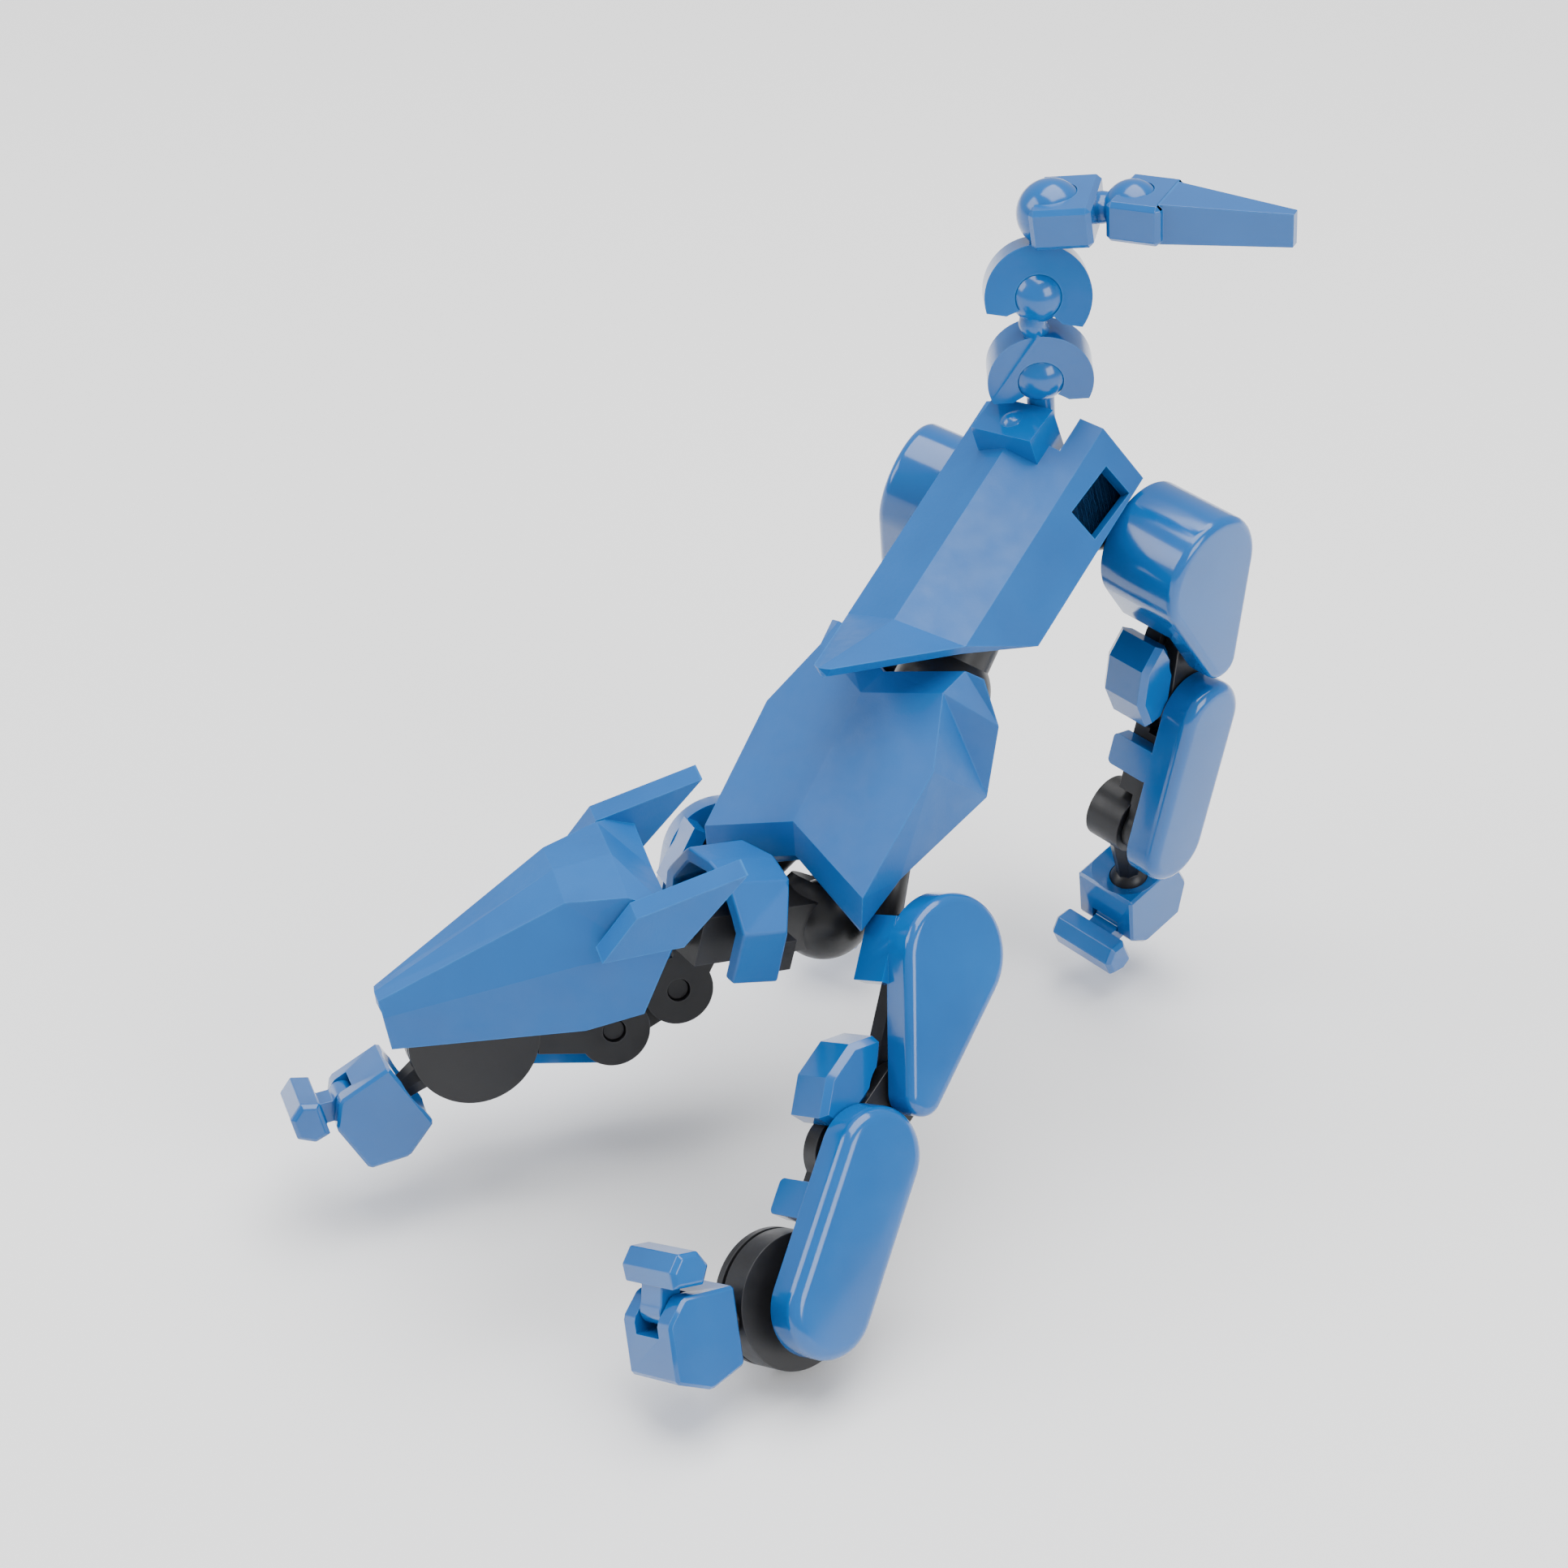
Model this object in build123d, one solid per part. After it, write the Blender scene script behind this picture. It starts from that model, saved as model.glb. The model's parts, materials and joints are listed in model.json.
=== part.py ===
from build123d import *
from math import cos, sin, radians
import os

# Posable four-legged figure: blue clip-on shells over a black jointed frame.
# Millimetres. The figure faces -Y, its own left side is +X, +Z is up.
os.makedirs("parts", exist_ok=True)

# ---------------------------------------------------------------- fits
BALL_GAP = 0.05        # radial gap between a ball and its socket
PIN_R = 0.95           # hinge pins
BORE_R = 1.00          # hinge bores
OPEN_ANGLE = 58        # half angle of a socket mouth

# ---------------------------------------------------------------- pose
HIP_TURN, HIP_PITCH, HIP_ROLL = 0, 20.6, -5.8
CHEST_AT = (-1.0, -14.5, -11.7)
CHEST_TURN, CHEST_PITCH, CHEST_ROLL = -4.7, 43, -6
WAIST_AT = (-0.5, -5.0, -9.6)
NECK_FROM_CHEST = (0, -12.4, -3.4)
NECK_TURN, NECK_PITCH = -21, -15
HEAD_TURN, HEAD_PITCH, HEAD_ROLL = -40.2, 6.5, -3.3
SHOULDER = (10.5, -12.4, -3.4)     # in the chest's own axes
HIP_JOINT = (10.8, 10.7, -5.5)      # in the hips' own axes

# side, plane turn, plane tilt, then the forward swing of each link from straight down
LEGS = {
    "front_left": dict(side=1, turn=-13, tilt=-26, upper=38, knee=64, shin=45, ankle=102, twist=0, toe=12),
    "front_right": dict(side=-1, turn=-39, tilt=-17, upper=32, knee=66, shin=100, ankle=60, twist=0, toe=-66),
    "rear_left": dict(side=1, turn=-11, tilt=3, upper=-17, knee=2, shin=12, ankle=-14, twist=0, toe=-8),
    "rear_right": dict(side=-1, turn=6, tilt=10, upper=-4, knee=28, shin=28, ankle=4, twist=0, toe=0),
}

# ---------------------------------------------------------------- leg dimensions
UPPER_LEN = {"front": 11.2, "rear": 10.2}
KNEE_LEN = 6.4
SHIN_LEN = 12.3
ANKLE_LEN = {"front": 8.6, "rear": 9.0}
LEG_BALL_R = 2.4
LINK_T = 1.6           # thickness of each hinge layer
DISC_R = 3.0           # upper knee disc
DISC2_R = 3.1          # lower knee disc
KNEE_DISC_R = 2.3
WHEEL_R = {"front": 5.5, "rear": 2.9}
WHEEL_T = 3.6
PAW_BALL_R = 1.9
CAP_R = {"front": 5.1, "rear": 5.3}
GUARD_R = {"front": 4.1, "rear": 3.6}
GUARD_IN = 1.85        # inner face of the shin guard
GUARD_OUT = 4.9
TAIL_BALL_R = 2.35


# ---------------------------------------------------------------- helpers
def frame_at(point, turn=0, pitch=0, roll=0):
    """Local axes: turn about Z, then nose-down pitch, then roll."""
    return Pos(*point) * Rot(0, 0, turn) * Rot(pitch, 0, 0) * Rot(0, roll, 0)


def point_in(loc, x, y, z):
    """World position of a local point."""
    return (loc * Pos(x, y, z)).position


def rod(p, q, radius):
    """Round bar with ball ends between two points."""
    p = Vector(p)
    q = Vector(q)
    plane = Plane(origin=p, z_dir=q - p)
    bar = extrude(plane * Circle(radius), (q - p).length)
    return bar + Pos(*p) * Sphere(radius) + Pos(*q) * Sphere(radius)


def disc(radius, x0, x1, y=0, z=0):
    """Disc whose axis is local X, from x0 to x1."""
    return Pos((x0 + x1) / 2, y, z) * Rot(0, 90, 0) * Cylinder(radius, abs(x1 - x0))


def block(x0, x1, y0, y1, z0, z1):
    """Box given by its limits."""
    centre = Pos((x0 + x1) / 2, (y0 + y1) / 2, (z0 + z1) / 2)
    return centre * Box(x1 - x0, y1 - y0, z1 - z0)


def mouth(ball_r, direction, angle=OPEN_ANGLE):
    """Cone removed from a socket so the neck of the ball can swing."""
    reach = ball_r * 3.2
    plane = Plane(origin=(0, 0, 0), z_dir=direction)
    cone = Cone(0.4, reach * sin(radians(angle)) / cos(radians(angle)), reach)
    return plane.location * Pos(0, 0, reach / 2) * cone


def profile_x(points, x0, x1):
    """Closed outline given in (y, z), extruded along local X."""
    sketch = Plane(origin=(x0, 0, 0), x_dir=(0, 1, 0), z_dir=(1, 0, 0)) * make_face(Polyline(*points, close=True))
    return extrude(sketch, x1 - x0)


def teardrop(big_r, small_r, length, x0, x1):
    """Big end at the origin, small end hanging below it."""
    lean = (big_r - small_r) / length
    up = (1 - lean * lean) ** 0.5
    body = profile_x(
        [
            (big_r * up, -big_r * lean),
            (small_r * up, -length - small_r * lean),
            (-small_r * up, -length - small_r * lean),
            (-big_r * up, -big_r * lean),
        ],
        x0,
        x1,
    )
    return body + disc(big_r, x0, x1) + disc(small_r, x0, x1, z=-length)


def facet_sheet(outer, inner):
    """Thin faceted shell between two matching grids of points."""
    faces = []

    def quad(a, b, c, d):
        if a == c or b == d:
            return
        for corners in ((a, b, c), (a, c, d)):
            flat = [Vector(*p) for p in corners]
            if (flat[1] - flat[0]).cross(flat[2] - flat[0]).length > 1e-6:
                faces.append(Face(Wire.make_polygon(flat, close=True)))

    rows = len(outer)
    cols = len(outer[0])
    for i in range(rows - 1):
        for j in range(cols - 1):
            quad(outer[i][j], outer[i][j + 1], outer[i + 1][j + 1], outer[i + 1][j])
            quad(inner[i][j], inner[i + 1][j], inner[i + 1][j + 1], inner[i][j + 1])
    for j in range(cols - 1):
        quad(outer[0][j], inner[0][j], inner[0][j + 1], outer[0][j + 1])
        quad(outer[-1][j], outer[-1][j + 1], inner[-1][j + 1], inner[-1][j])
    for i in range(rows - 1):
        quad(outer[i][0], outer[i + 1][0], inner[i + 1][0], inner[i][0])
        quad(outer[i][-1], inner[i][-1], inner[i + 1][-1], outer[i + 1][-1])
    solid = Solid(Shell(faces))
    return solid if solid.volume > 0 else Solid(Shell([-face for face in faces]))


def mirrored_rows(rows):
    """Rows list half a section from the centre outwards; returns whole sections."""
    whole = []
    for row in rows:
        left = [(x, y, z) for x, y, z in row]
        right = [(-x, y, z) for x, y, z in row[:0:-1]]
        whole.append(right + left)
    return whole


def shell_from(rows, inset):
    """Shell of a half section list; inset gives the inward step of each column.
    A point that a row repeats keeps its first inward step, so a strip can close to an edge."""
    moved = {}
    for row in rows:
        for (x, y, z), (dx, dz) in zip(row, inset):
            moved.setdefault((x, y, z), (x + dx, y, z + dz))
    inner = [[moved[point] for point in row] for row in rows]
    return facet_sheet(mirrored_rows(rows), mirrored_rows(inner))


nodes = {}


def keep(name, loc, shape):
    """Place a finished piece and remember it under its node name."""
    nodes[name] = loc * shape


# ---------------------------------------------------------------- torso axes
hips = frame_at((0, 0, 0), HIP_TURN, HIP_PITCH, HIP_ROLL)
chest = frame_at(CHEST_AT, CHEST_TURN, CHEST_PITCH, CHEST_ROLL)
waist = Pos(*WAIST_AT)
neck = frame_at(tuple(point_in(chest, *NECK_FROM_CHEST)), NECK_TURN, NECK_PITCH, 0)
NECK_LEN = 20.5
NECK_BALL_R = 2.6
HEAD_BALL_R = 2.5
HEAD_BALL = (0, 4.5, -1.0)          # ball position in the head shell's own axes
head = frame_at(tuple(point_in(neck, 0, -NECK_LEN, 0)), HEAD_TURN, HEAD_PITCH, HEAD_ROLL)

# ---------------------------------------------------------------- hip shell
HIP_FRONT = (5.8, -10.4, 3.3)
HIP_ROWS = [
    [(0, 12.6, 7.6), (5.8, 13.0, 5.5), (8.6, 12.8, 0.7)],
    [(0, -11.2, 5.4), HIP_FRONT, (8.5, -5.3, -1.1)],
    [(0, -20.6, 9.5), (0.8, -20.2, 9.2), HIP_FRONT],
]
SHELL_T = 1.1
hip_shell = shell_from(HIP_ROWS, [(0, -SHELL_T * 1.05), (-SHELL_T * 0.6, -SHELL_T), (-SHELL_T * 1.05, -0.3)])
hip_shell -= block(-3.8, 3.8, 9.3, 16, 0, 12)                     # notch for the tail root
window = Pos(7.55, 8.1, 2.1) * Rot(0, 59, 0) * Box(3.1, 5.4, 4.0)
hip_shell -= window
hip_shell -= mirror(window, about=Plane.YZ)
keep("hip_shell", hips, hip_shell)

# ---------------------------------------------------------------- chest shell
CHEST_FRONT = (8.6, -13.1, 2.4)
CHEST_ROWS = [
    [(0, 6.6, 4.4), (6.9, 9.2, 3.9), (8.3, 9.3, 3.0)],
    [(0, 4.1, 5.8), (6.7, 6.7, 4.9), (9.6, 6.7, 0.0)],
    [(0, -2.0, 5.8), (9.2, 0.6, 4.57), (8.9, 1.6, -4.1)],
    [(0, -7.7, 5.8), (8.8, -10.9, 4.63), (9.1, -8.1, 1.7)],
    [(0, -9.9, 3.4), CHEST_FRONT, CHEST_FRONT],
]
chest_shell = shell_from(CHEST_ROWS, [(0, -SHELL_T), (-SHELL_T * 0.8, -SHELL_T), (-SHELL_T, -0.2)])
keep("chest_shell", chest, chest_shell)

# ---------------------------------------------------------------- neck shell
NECK_ROWS = [
    [(0, -6.6, 5.9), (3.4, -7.3, 5.6), (6.2, -8.7, 2.6), (5.8, -8.2, -2.4)],
    [(0, -13.2, 6.2), (3.0, -13.2, 5.8), (5.6, -12.6, 2.4), (5.2, -12.2, -2.4)],
]
neck_shell = shell_from(NECK_ROWS, [(0, -1.1), (-0.5, -1.1), (-1.1, -0.4), (-1.1, 0)])
keep("neck_shell", neck, neck_shell)

# ---------------------------------------------------------------- head shell
HEAD_ROWS = [
    [(0, -15.0, -0.2), (1.1, -14.9, -0.4), (1.5, -14.8, -1.8), (1.6, -14.7, -4.8)],
    [(0, 0.5, 6.8), (4.2, 0.5, 6.3), (5.8, 0.6, 1.4), (5.8, 0.1, -4.7)],
    [(0, 5.2, 6.9), (5.8, 5.2, 6.4), (7.0, 5.4, 1.8), (6.8, 4.7, -3.8)],
    [(0, 8.2, 4.6), (7.6, 8.2, 5.2), (7.9, 8.0, 3.2), (7.5, 7.4, 1.6)],
]
head_shell = shell_from(HEAD_ROWS, [(0, -1.1), (-0.5, -1.1), (-1.1, -0.2), (-1.1, 0)])
ear = profile_x([(2.0, 3.0), (5.2, 6.2), (14.2, 7.6), (8.4, 2.6)], 6.2, 8.6)
head_shell = head_shell + ear + mirror(ear, about=Plane.YZ)
keep("head_shell", head * Pos(*[-v for v in HEAD_BALL]), head_shell)


# ---------------------------------------------------------------- legs
def leg_chain(name, leg):
    """Local axes of the moving bodies of one leg."""
    end = name.split("_")[0]
    side = leg["side"]
    if end == "front":
        root = point_in(chest, side * SHOULDER[0], SHOULDER[1], SHOULDER[2])
    else:
        root = point_in(hips, side * HIP_JOINT[0], HIP_JOINT[1], HIP_JOINT[2])
    base = Pos(*root) * Rot(0, 0, leg["turn"]) * Rot(0, leg["tilt"], 0)
    step = [("upper", UPPER_LEN[end]), ("knee", KNEE_LEN), ("shin", SHIN_LEN), ("ankle", ANKLE_LEN[end])]
    axes = {}
    y = 0
    z = 0
    for part, length in step:
        swing = radians(leg[part])
        axes[part] = base * Pos(0, y, z) * Rot(-leg[part], 0, 0)
        y -= length * sin(swing)
        z -= length * cos(swing)
    axes["paw"] = base * Pos(-side * WHEEL_T / 2, y, z) * Rot(-leg["ankle"], 0, 0) * Rot(0, 0, leg["twist"])
    axes["toe"] = axes["paw"] * Pos(*TOE_HINGE) * Rot(-leg["toe"], 0, 0)
    axes["root"] = base
    return axes


def upper_leg(end):
    """Socket on the torso ball, and the upper knee disc."""
    length = UPPER_LEN[end]
    body = Sphere(3.6) + block(-LINK_T, 0, -1.8, 1.8, -length, 0) + disc(DISC_R, -LINK_T, 0, z=-length)
    body -= Sphere(LEG_BALL_R + BALL_GAP)
    body -= mouth(LEG_BALL_R, (-1, 0, 0))
    body -= disc(BORE_R, -LINK_T - 1, 1, z=-length)
    return body


def thigh_cap(end):
    """Blue teardrop clipped over the outside of the upper leg."""
    length = UPPER_LEN[end]
    cap = teardrop(CAP_R[end], 1.8, length, 2.2, 5.0)
    cap = fillet(cap.faces().sort_by(Axis.X)[-1].edges(), 0.8)
    if end == "front":
        cap += block(-1.2, 2.4, -5.0, -3.7, -3.4, 2.0)
    else:
        drum = teardrop(CAP_R[end], 1.8, length, -3.0, 2.2)
        drum -= teardrop(CAP_R[end] - 1.1, 0.7, length, -3.1, 2.3)
        drum -= block(-4, 2.2, -8, 8, -length - 4, -length + 4.2)
        cap += drum
    cap -= disc(2.95, 2.0, 3.7)
    return cap


def knee_link():
    """Outer-layer bar between the two knee hinges, with its two pins."""
    bar = disc(KNEE_DISC_R, 0.1, 0.1 + LINK_T) + disc(KNEE_DISC_R, 0.1, 0.1 + LINK_T, z=-KNEE_LEN)
    bar += block(0.1, 0.1 + LINK_T, -KNEE_DISC_R, KNEE_DISC_R, -KNEE_LEN, 0)
    for z in (0, -KNEE_LEN):
        bar += disc(PIN_R, -1.25, 0.2, z=z)
    return bar


def knee_pod():
    """Long faceted cover in front of the knee link."""
    outline = [(-3.2, -6.2), (-2.3, -4.6), (-2.3, -0.8), (-3.7, 1.2), (-5.0, 1.6), (-6.4, -0.4), (-6.4, -3.8), (-4.8, -6.6)]
    pod = profile_x(outline, -2.9, 0.1 + LINK_T)
    pod = chamfer(pod.faces().filter_by(Axis.X).edges().filter_by(lambda e: e.length > 1.5), 0.5)
    for z in (0, -KNEE_LEN):
        pod -= disc(DISC2_R + 0.25, -5, 5, z=z)
    return pod


def lower_leg(end):
    """Shin bar: lower knee disc above, outer-layer ear with the wheel pin below."""
    low = -SHIN_LEN + WHEEL_R[end] + 0.4
    body = disc(DISC2_R, -LINK_T, 0) + block(-LINK_T, 0, -2.0, 2.0, low, 0)
    body += block(0, 0.1 + LINK_T, -2.0, 2.0, -SHIN_LEN, -KNEE_DISC_R - 0.5)
    body += disc(2.3, 0.1, 0.1 + LINK_T, z=-SHIN_LEN) + disc(PIN_R, -1.6, 0.2, z=-SHIN_LEN)
    body -= disc(WHEEL_R[end] + 0.2, -5, 0.1, z=-SHIN_LEN)
    body += disc(PIN_R, -1.6, 0.2, z=-SHIN_LEN)
    body -= disc(BORE_R, -LINK_T - 1, 0.05)
    return body


def shin_guard(end):
    """Blue capsule on the outside of the shin with a clip tab over its front."""
    radius = GUARD_R[end]
    guard = disc(radius, GUARD_IN, GUARD_OUT) + disc(radius, GUARD_IN, GUARD_OUT, z=-SHIN_LEN)
    guard += block(GUARD_IN, GUARD_OUT, -radius, radius, -SHIN_LEN, 0)
    guard = fillet(guard.faces().sort_by(Axis.X)[-1].edges(), 1.1)
    tab = block(-2.4, GUARD_IN + 0.2, -3.6, -2.05, -6.5, -3.5)
    return guard + fillet(tab.edges().filter_by(Axis.Y), 0.5)


def ankle_link(end):
    """Wrist wheel with a tapered eight-sided neck and the paw ball."""
    wheel = disc(WHEEL_R[end], -WHEEL_T, 0)
    mid = -WHEEL_T / 2
    if end == "front":
        wheel -= disc(WHEEL_R[end] + 1, -WHEEL_T + 0.7, -WHEEL_T + 1.1) - disc(WHEEL_R[end] - 0.35, -9, 9)
    neck_top = Plane(origin=(mid, 0, -WHEEL_R[end] + 1.2)) * RegularPolygon(1.6, 8)
    neck_low = Plane(origin=(mid, 0, -ANKLE_LEN[end] + 0.6)) * RegularPolygon(1.0, 8)
    stub = loft([neck_top.face(), neck_low.face()])
    body = wheel + stub + Pos(mid, 0, -ANKLE_LEN[end]) * Sphere(PAW_BALL_R)
    body -= disc(BORE_R, -1.7, 1)
    return body


PAW_W = 3.2
TOE_HINGE = (0, -2.3, -2.9)
TOE_PIN_R = 0.6


def paw():
    """Palm block: socket on top, slot for the toe in front."""
    outline = [(-3.3, 1.9), (3.0, 1.9), (4.1, -1.4), (2.8, -4.6), (-1.8, -4.6), (-3.6, -2.9)]
    body = profile_x(outline, -PAW_W, PAW_W)
    body = chamfer(body.edges(), 0.25)
    body -= Sphere(PAW_BALL_R + BALL_GAP)
    body -= mouth(PAW_BALL_R, (0, 0, 1))
    body -= block(-1.5, 1.5, -5, -0.6, -6, -1.5)
    body -= disc(TOE_PIN_R + BALL_GAP, -2.4, 2.4, TOE_HINGE[1], TOE_HINGE[2])
    return body


def toe():
    """T-shaped toe: pinned stem and a wide six-sided bar."""
    stem = disc(1.2, -1.35, 1.35) + block(-1.35, 1.35, -3.4, 0, -1.1, 0.7)
    bar = profile_x([(-2.2, 1.5), (-1.9, -1.3), (-3.2, -1.7), (-4.6, -1.0), (-4.8, 0.8), (-3.7, 1.9)], -3.5, 3.5)
    bar = chamfer(bar.faces().filter_by(Axis.X).edges(), 0.35)
    return stem + bar + disc(TOE_PIN_R, -2.3, 2.3)


chains = {}
for name, leg in LEGS.items():
    end = name.split("_")[0]
    chains[name] = leg_chain(name, leg)
    pieces = {
        "thigh_cap": ("upper", thigh_cap(end)),
        "knee_link": ("knee", knee_link()),
        "knee_pod": ("knee", knee_pod()),
        "lower_leg_frame": ("shin", lower_leg(end)),
        "shin_guard": ("shin", shin_guard(end)),
        "ankle_link": ("ankle", ankle_link(end)),
        "paw": ("paw", paw()),
        "toe": ("toe", toe()),
    }
    for piece, (part, shape) in pieces.items():
        if leg["side"] < 0:
            shape = mirror(shape, about=Plane.YZ)
        keep(name + "_" + piece, chains[name][part], shape)
    half_turn = Rot(0, 0, 0 if leg["side"] > 0 else 180)
    keep(name + "_upper_leg_frame", chains[name]["upper"] * half_turn, upper_leg(end))


# ---------------------------------------------------------------- tail
# Ball centres of the tail, root first, and the far end of the blade.
TAIL_BALLS = [(0, 8.2, 14.7), (0, 7.2, 22.2), (0, 8.8, 28.6), (6.0, 11.3, 29.6)]
TAIL_END = (19.0, 13.6, 30.4)
TAIL_KNOB_R = 2.8
TAIL_ACROSS = Vector(0.82, 0.57, 0)   # width of the two upright clips



def tail_ball(i):
    """Radius of ball i."""
    return TAIL_KNOB_R if i == 2 else TAIL_BALL_R


def tail_axes(i):
    """Axes at ball i: local Z towards the next ball, local X across the clip."""
    along = Vector(*(TAIL_BALLS + [TAIL_END])[i + 1]) - Vector(*TAIL_BALLS[i])
    across = TAIL_ACROSS if i < 2 else Vector(0, 0, 1).cross(along)
    return Plane(origin=TAIL_BALLS[i], x_dir=across - along * (across.dot(along) / along.dot(along)), z_dir=along).location


def tail_clip(i):
    """Open C-shaped clip that holds ball i."""
    ball_r = tail_ball(i)
    if i < 2:
        plate = Rot(90, 0, 0) * Cylinder(ball_r + 2.0, 3.0)
        plate &= block(-9, 9, -9, 9, -1.9, 9)
    else:
        plate = block(-ball_r - 0.9, ball_r + 0.9, -1.7, 1.7, -1.2, ball_r + 1.0)
        plate = chamfer(plate.edges(), 0.4)
    return plate - Sphere(ball_r + BALL_GAP) - mouth(ball_r, (0, 0, -1), 52)


tail_locs = [tail_axes(i) for i in range(4)]
for i in range(3):
    here = Vector(*TAIL_BALLS[i])
    there = Vector(*TAIL_BALLS[i + 1])
    onward = Vector(*(TAIL_BALLS + [TAIL_END])[i + 2]) - there
    neck_dir = (onward if i != 1 else there - here).normalized()
    start = here + (there - here).normalized() * (tail_ball(i) + 1.3)
    bend = there - neck_dir * (tail_ball(i + 1) + 0.2)
    link = tail_locs[i] * tail_clip(i) + rod(start, bend, 1.1) + rod(bend, there, 1.1)
    link += Pos(*there) * Sphere(tail_ball(i + 1))
    nodes["tail_link_%d" % (i + 1)] = link
blade_root = Plane(origin=(0, 0, 2.6)) * Rectangle(5.0, 3.4)
blade_end = Plane(origin=(0, 0, 13.4)) * Rectangle(1.0, 2.8)
tip = tail_clip(3) + loft([blade_root.face(), blade_end.face()])
keep("tail_tip", tail_locs[3], tip)

# ---------------------------------------------------------------- torso frames
def torso_arm(name, core):
    """Ball for one leg on an arm that starts inside the torso."""
    side = LEGS[name]["side"]
    root = chains[name]["root"]
    ball = root.position
    elbow = point_in(root, -side * 5.0, 0, 0)
    arm = Pos(*ball) * Sphere(LEG_BALL_R) + rod(ball, elbow, 1.15) + rod(elbow, core, 1.4)
    return arm


hip_core = hips * block(-4.2, 4.2, -2.0, 9.0, -4.2, 3.4)
hip_frame = hip_core
for name in ("rear_left", "rear_right"):
    hip_frame += torso_arm(name, point_in(hips, LEGS[name]["side"] * 3.5, 6.5, -2))
hip_frame += rod(point_in(hips, 0, 1, -2), WAIST_AT, 3.0) + waist * Sphere(4.2)
waist_dir = Vector(*CHEST_AT) - Vector(*WAIST_AT)
hip_frame -= waist * Sphere(3.0 + BALL_GAP)
hip_frame -= waist * mouth(3.0, waist_dir)
tail_root = Vector(*TAIL_BALLS[0])
tail_foot = tail_root - (Vector(*TAIL_BALLS[1]) - tail_root).normalized() * 4.4
tail_base = rod(tail_foot, tail_root, 1.15) + Pos(*tail_root) * Sphere(TAIL_BALL_R)
tail_base += hips * block(-2.9, 2.9, 7.2, 11.0, 4.7, 8.7)
tail_base += rod(tail_foot, point_in(hips, 0, 9.0, 8.0), 1.15)
nodes["tail_base"] = tail_base
nodes["hip_frame"] = hip_frame

chest_core = chest * block(-4.8, 4.8, -6.6, 2.8, -4.6, 1.8)
chest_frame = chest_core
for name in ("front_left", "front_right"):
    chest_frame += torso_arm(name, point_in(chest, LEGS[name]["side"] * 4.0, -4.6, -2.6))
chest_frame += rod(WAIST_AT, point_in(chest, 0, 0, 0), 1.45) + waist * Sphere(3.0)
chest_frame += rod(point_in(chest, 0, -5, -2), tuple(neck.position), 1.3) + Pos(*neck.position) * Sphere(NECK_BALL_R)
chest_frame -= waist * (Sphere(4.4) - Sphere(3.02) - mouth(3.0, waist_dir, 40))
nodes["chest_frame"] = chest_frame

# ---------------------------------------------------------------- neck and head frames
neck_body = Sphere(NECK_BALL_R + 1.5) + block(-2.2, 2.2, -14, 0, -2.2, 2.2)
neck_body += rod((0, -13, 0), (0, -NECK_LEN, 0), 1.25) + Pos(0, -NECK_LEN, 0) * Sphere(HEAD_BALL_R)
neck_body += block(-5.6, 5.6, -9.0, -7.0, -1.5, 1.2) + block(-1.2, 1.2, -9.0, -7.0, 0, 5.2)
neck_body -= Sphere(NECK_BALL_R + BALL_GAP)
neck_body -= neck.inverse() * (Pos(*neck.position) * mouth(NECK_BALL_R, Vector(*point_in(chest, 0, -5, -2)) - Vector(*neck.position)))
keep("neck_frame", neck, neck_body)

head_body = Sphere(HEAD_BALL_R + 1.5) + block(-1.9, 1.9, -9.5, -3.0, -3.2, 3.0)
head_body += block(-5.3, 5.3, -4.6, -2.6, -2.4, 2.0)
head_body -= Sphere(HEAD_BALL_R + BALL_GAP)
head_body -= head.inverse() * (Pos(*head.position) * mouth(HEAD_BALL_R, Vector(*neck.position) - Vector(*head.position)))
keep("head_frame", head, head_body)

# ---------------------------------------------------------------- write
# The origin ends up under the middle of the figure, on the floor.
boxes = [shape.bounding_box() for shape in nodes.values()]
mid_x = (min(b.min.X for b in boxes) + max(b.max.X for b in boxes)) / 2
mid_y = (min(b.min.Y for b in boxes) + max(b.max.Y for b in boxes)) / 2
low_z = min(b.min.Z for b in boxes)
for name, shape in nodes.items():
    export_step(Pos(-mid_x, -mid_y, -low_z) * shape, "parts/" + name + ".step")
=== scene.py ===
import json
from math import radians

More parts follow.
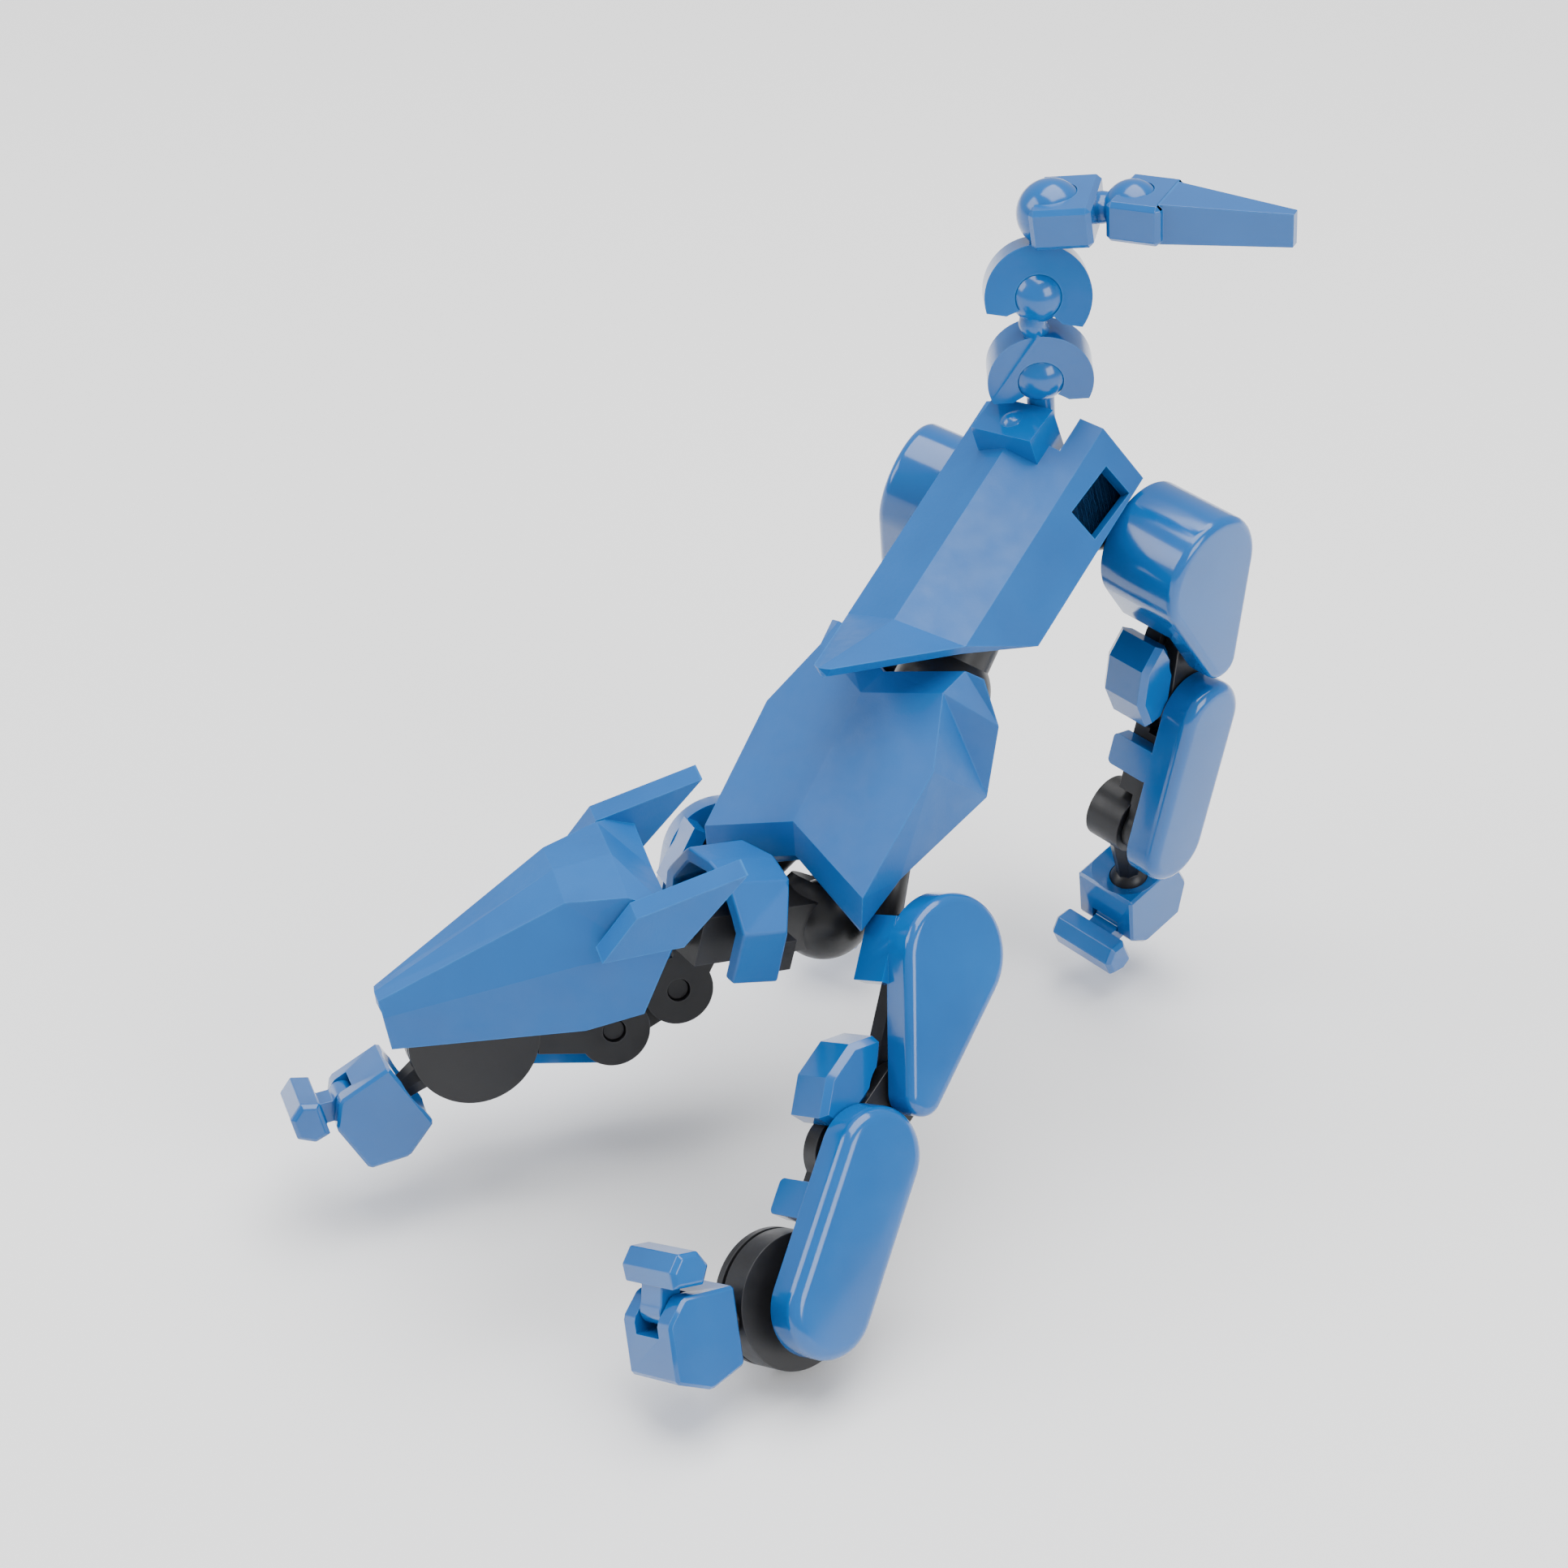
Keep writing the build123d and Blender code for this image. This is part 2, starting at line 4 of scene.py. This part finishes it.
import bmesh
import bpy
from mathutils import Euler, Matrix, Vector


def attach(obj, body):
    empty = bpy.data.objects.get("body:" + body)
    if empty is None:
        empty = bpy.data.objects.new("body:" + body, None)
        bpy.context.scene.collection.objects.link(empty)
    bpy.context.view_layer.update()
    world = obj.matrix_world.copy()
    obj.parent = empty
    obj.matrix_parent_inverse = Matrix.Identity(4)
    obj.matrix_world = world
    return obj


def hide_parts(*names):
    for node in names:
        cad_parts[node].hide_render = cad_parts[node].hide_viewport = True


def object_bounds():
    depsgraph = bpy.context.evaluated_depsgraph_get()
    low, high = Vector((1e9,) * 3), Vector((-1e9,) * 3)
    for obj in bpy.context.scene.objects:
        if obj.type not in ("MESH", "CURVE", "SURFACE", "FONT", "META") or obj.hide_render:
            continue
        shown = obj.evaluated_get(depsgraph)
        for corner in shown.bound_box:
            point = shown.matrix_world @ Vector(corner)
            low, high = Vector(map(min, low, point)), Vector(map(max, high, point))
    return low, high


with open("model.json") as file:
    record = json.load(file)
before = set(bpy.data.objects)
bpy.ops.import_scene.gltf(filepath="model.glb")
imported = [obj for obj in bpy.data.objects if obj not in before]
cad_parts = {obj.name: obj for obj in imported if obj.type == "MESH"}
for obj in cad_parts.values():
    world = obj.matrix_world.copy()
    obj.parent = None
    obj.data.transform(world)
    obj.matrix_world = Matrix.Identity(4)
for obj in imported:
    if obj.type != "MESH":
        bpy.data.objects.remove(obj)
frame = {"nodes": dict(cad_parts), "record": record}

CAD_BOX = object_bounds()
RECORD = frame["record"]
BODY_OF = {node: body for body, members in RECORD["behaviour"]["bodies"].items() for node in members}
SLOT_OF = {row["node"]: row["material_slot"] for row in RECORD["subparts"]}
MM = 0.001                       # metres in a millimetre

# ---------------------------------------------------------------- camera
CAMERA_AZIMUTH = 34.62           # degrees round from straight in front, towards the figure's left
CAMERA_ELEVATION = 34.0
CAMERA_VIEW = 25.64              # field of view in degrees
CAMERA_AT = Vector((134.1, -192.1, 191.2)) * MM
CAMERA_NEAR = 5 * MM


def add_camera():
    data = bpy.data.cameras.new("camera")
    data.angle = radians(CAMERA_VIEW)
    data.clip_start = CAMERA_NEAR
    camera = bpy.data.objects.new("camera", data)
    camera.location = CAMERA_AT
    camera.rotation_euler = Euler((radians(90 - CAMERA_ELEVATION), 0, radians(CAMERA_AZIMUTH)))
    bpy.context.scene.collection.objects.link(camera)
    bpy.context.scene.camera = camera


# ---------------------------------------------------------------- materials
EDGE_WIDTH = 0.22 * MM           # how far the painted highlight reaches from an edge
EDGE_SAMPLES = 6
EDGE_DOT = (0.90, 0.995)         # cosine of the turn on a full edge, and on a flat stretch
DRIFT_SIZE = 9 * MM              # slow colour drift
HIGHLIGHT_PATCH_SIZE = 1.6 * MM             # patches in the painted edge highlight
HIGHLIGHT_FAINTEST = 0.25                # share of the painted edge highlight left in its faintest patches
GLOSS_SIZE = 2.2 * MM            # patches of uneven gloss
WAVE_SIZE = 6 * MM               # slow waviness of a moulded face
WAVE_DEPTH = 0.03 * MM
COAT_ROUGHNESS = 0.08
PLASTIC_IOR = 1.49


class Tree:
    """A material's node tree, with short calls that add and join nodes."""

    def __init__(self, name):
        self.material = bpy.data.materials.new(name)
        self.material.use_nodes = True
        self.nodes = self.material.node_tree.nodes
        self.links = self.material.node_tree.links
        self.shader = self.nodes["Principled BSDF"]
        self.place = self.nodes.new("ShaderNodeTexCoord").outputs["Object"]

    def join(self, source, target):
        self.links.new(source, target)

    def noise(self, size, detail=3.0, rough=0.5):
        """Noise whose features are about size metres across."""
        node = self.nodes.new("ShaderNodeTexNoise")
        node.inputs["Scale"].default_value = 1.0 / size
        node.inputs["Detail"].default_value = detail
        node.inputs["Roughness"].default_value = rough
        self.join(self.place, node.inputs["Vector"])
        return node.outputs["Fac"]

    def spread(self, value, low, high, start=0.3, end=0.7):
        """Maps value between start and end to the range low to high."""
        node = self.nodes.new("ShaderNodeMapRange")
        node.inputs["From Min"].default_value = start
        node.inputs["From Max"].default_value = end
        node.inputs["To Min"].default_value = low
        node.inputs["To Max"].default_value = high
        self.join(value, node.inputs["Value"])
        return node.outputs["Result"]

    def mix(self, factor, first, second):
        """Colour between first and second; each is a colour or a socket."""
        node = self.nodes.new("ShaderNodeMix")
        node.data_type = "RGBA"
        self.join(factor, node.inputs["Factor"])
        for name, value in (("A", first), ("B", second)):
            socket = [s for s in node.inputs if s.name == name and s.type == "RGBA"][0]
            if isinstance(value, tuple):
                socket.default_value = (*value, 1.0)
            else:
                self.join(value, socket)
        return [s for s in node.outputs if s.type == "RGBA"][0]

    def edges(self, radius):
        """1 along convex and concave edges, 0 on flat stretches."""
        bevel = self.nodes.new("ShaderNodeBevel")
        bevel.inputs["Radius"].default_value = radius
        bevel.samples = EDGE_SAMPLES
        geometry = self.nodes.new("ShaderNodeNewGeometry")
        dot = self.nodes.new("ShaderNodeVectorMath")
        dot.operation = "DOT_PRODUCT"
        self.join(bevel.outputs["Normal"], dot.inputs[0])
        self.join(geometry.outputs["Normal"], dot.inputs[1])
        return self.spread(dot.outputs["Value"], 1.0, 0.0, *EDGE_DOT)

    def bump(self, layers):
        """Chains (height, depth in metres, strength) layers into the shader's normal."""
        normal = None
        for height, depth, strength in layers:
            node = self.nodes.new("ShaderNodeBump")
            node.inputs["Distance"].default_value = depth
            node.inputs["Strength"].default_value = strength
            self.join(height, node.inputs["Height"])
            if normal is not None:
                self.join(normal, node.inputs["Normal"])
            normal = node.outputs["Normal"]
        self.join(normal, self.shader.inputs["Normal"])


def plastic(name, colour, deep, edge, rough, grain, grain_depth, coat=0.0, highlight_share=0.5):
    """Moulded plastic: slow colour drift, fine grain, a paler painted highlight along edges, and uneven
    gloss.
    """
    tree = Tree(name)
    drift = tree.spread(tree.noise(DRIFT_SIZE, 2.0), 0.0, 1.0)
    body = tree.mix(drift, deep, colour)
    # Painted highlight: the paler edge colour is mixed in along convex and concave edges, in patches.
    painted_highlight = tree.nodes.new("ShaderNodeMath")
    painted_highlight.operation = "MULTIPLY"
    tree.join(tree.edges(EDGE_WIDTH), painted_highlight.inputs[0])
    highlight_patches = tree.spread(tree.noise(HIGHLIGHT_PATCH_SIZE, 4.0), HIGHLIGHT_FAINTEST * highlight_share, highlight_share)
    tree.join(highlight_patches, painted_highlight.inputs[1])
    tree.join(tree.mix(painted_highlight.outputs["Value"], body, edge), tree.shader.inputs["Base Color"])
    tree.join(tree.spread(tree.noise(GLOSS_SIZE, 4.0, 0.6), *rough), tree.shader.inputs["Roughness"])
    tree.bump([
        (tree.noise(grain, 2.0, 0.6), grain_depth, 0.5),
        (tree.noise(WAVE_SIZE, 1.0), WAVE_DEPTH, 0.25),
    ])
    tree.shader.inputs["Coat Weight"].default_value = coat
    tree.shader.inputs["Coat Roughness"].default_value = COAT_ROUGHNESS
    tree.shader.inputs["IOR"].default_value = PLASTIC_IOR
    return tree.material


# The edge colours are paler tones used as a painted highlight along edges.
BLUE = (0.0000, 0.105, 0.360)
BLUE_DEEP = (0.0000, 0.088, 0.310)
BLUE_HIGHLIGHT = (0.015, 0.230, 0.600)
BLACK = (0.0150, 0.0150, 0.0165)
BLACK_DEEP = (0.0100, 0.0100, 0.0115)
BLACK_HIGHLIGHT = (0.055, 0.055, 0.060)

BLUES = (BLUE, BLUE_DEEP, BLUE_HIGHLIGHT)
BLACKS = (BLACK, BLACK_DEEP, BLACK_HIGHLIGHT)
GLOSSY_GRAIN = (0.5 * MM, 0.002 * MM)    # size and depth

MATERIALS = {
    "shell_blue": plastic("shell_blue", *BLUES, (0.42, 0.56), 0.22 * MM, 0.016 * MM),
    "armour_blue": plastic("armour_blue", *BLUES, (0.12, 0.20), *GLOSSY_GRAIN, coat=0.35, highlight_share=0.3),
    "clip_blue": plastic("clip_blue", *BLUES, (0.14, 0.24), *GLOSSY_GRAIN, coat=0.3, highlight_share=0.3),
    "frame_black": plastic("frame_black", *BLACKS, (0.34, 0.48), 0.28 * MM, 0.008 * MM),
}

# ---------------------------------------------------------------- rounded moulded pieces
EDGE_ROUND = {
    "shell_blue": 0.22 * MM,
    "armour_blue": 0.16 * MM,
    "clip_blue": 0.20 * MM,
    "frame_black": 0.12 * MM,
}
# Degrees between two faces from which their shared edge is rounded and not shaded smooth.
# The shells of the torso, neck and head are built from flat facets, so theirs is low.
SHARP_FROM = {"shell_blue": 4, "armour_blue": 28, "clip_blue": 28, "frame_black": 28}


MERGE_WITHIN = 0.002 * MM
FLAT_WITHIN = 0.6                # degrees between triangles that count as one flat face
EDGE_STEPS = 3


def clean_copy(node, sharp_from):
    """Mesh of a CAD node with its triangles joined into flat faces."""
    mesh = frame["nodes"][node].data.copy()
    work = bmesh.new()
    work.from_mesh(mesh)
    bmesh.ops.remove_doubles(work, verts=work.verts, dist=MERGE_WITHIN)
    flat = radians(FLAT_WITHIN)
    bmesh.ops.dissolve_limit(work, angle_limit=flat, verts=work.verts, edges=work.edges)
    for face in work.faces:
        face.smooth = True
    for edge in work.edges:
        edge.smooth = len(edge.link_faces) == 2 and edge.calc_face_angle(0) < radians(sharp_from)
    work.to_mesh(mesh)
    work.free()
    return mesh


def moulded(node):
    """The visible form of a CAD node: the same shape with its sharp edges rounded."""
    slot = SLOT_OF[node]
    mesh = clean_copy(node, SHARP_FROM[slot])
    mesh.materials.clear()
    mesh.materials.append(MATERIALS[slot])
    piece = bpy.data.objects.new(node + "_moulded", mesh)
    bpy.context.scene.collection.objects.link(piece)
    bevel = piece.modifiers.new("rounded_edges", "BEVEL")
    bevel.width = EDGE_ROUND[slot]
    bevel.segments = EDGE_STEPS
    bevel.limit_method = "ANGLE"
    bevel.angle_limit = radians(SHARP_FROM[slot])
    bevel.use_clamp_overlap = True
    bevel.harden_normals = True
    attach(piece, BODY_OF[node])
    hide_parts(node)


# ---------------------------------------------------------------- floor and light
FLOOR_SIDE = 4.0
FLOOR_COLOUR = (0.95, 0.95, 0.95, 1.0)
FLOOR_ROUGHNESS = 0.85
WORLD_COLOUR = (1.0, 1.0, 1.0, 1.0)
WORLD_STRENGTH = 0.65
SOFTBOXES = (                    # name, place and side in metres, power in watts
    ("top_light", (0.02, 0.08, 0.62), 0.55, 5.6),
    ("left_light", (-0.50, -0.38, 0.42), 0.40, 2.6),
    ("right_light", (0.52, -0.10, 0.30), 0.30, 1.7),
)


def add_floor():
    low = CAD_BOX[0][2]
    mesh = bpy.data.meshes.new("floor")
    half = FLOOR_SIDE / 2
    corners = [(-half, -half, low), (half, -half, low), (half, half, low), (-half, half, low)]
    mesh.from_pydata(corners, [], [(0, 1, 2, 3)])
    floor = bpy.data.objects.new("floor", mesh)
    bpy.context.scene.collection.objects.link(floor)
    material = bpy.data.materials.new("floor")
    material.use_nodes = True
    shader = material.node_tree.nodes["Principled BSDF"]
    shader.inputs["Base Color"].default_value = FLOOR_COLOUR
    shader.inputs["Roughness"].default_value = FLOOR_ROUGHNESS
    mesh.materials.append(material)


def add_softbox(name, place, side, watts, aim):
    """Square area light at place, turned to face aim."""
    data = bpy.data.lights.new(name, "AREA")
    data.shape = "SQUARE"
    data.size = side
    data.energy = watts
    light = bpy.data.objects.new(name, data)
    light.location = place
    light.rotation_euler = (Vector(aim) - Vector(place)).to_track_quat("-Z", "Y").to_euler()
    bpy.context.scene.collection.objects.link(light)


def add_lights():
    aim = [(low + high) / 2 for low, high in zip(*CAD_BOX)]
    for name, place, side, watts in SOFTBOXES:
        add_softbox(name, place, side, watts, aim)
    world = bpy.data.worlds.new("studio")
    world.use_nodes = True
    background = world.node_tree.nodes["Background"]
    background.inputs["Color"].default_value = WORLD_COLOUR
    background.inputs["Strength"].default_value = WORLD_STRENGTH
    bpy.context.scene.world = world


add_camera()
for node_name in frame["nodes"]:
    moulded(node_name)
add_floor()
add_lights()
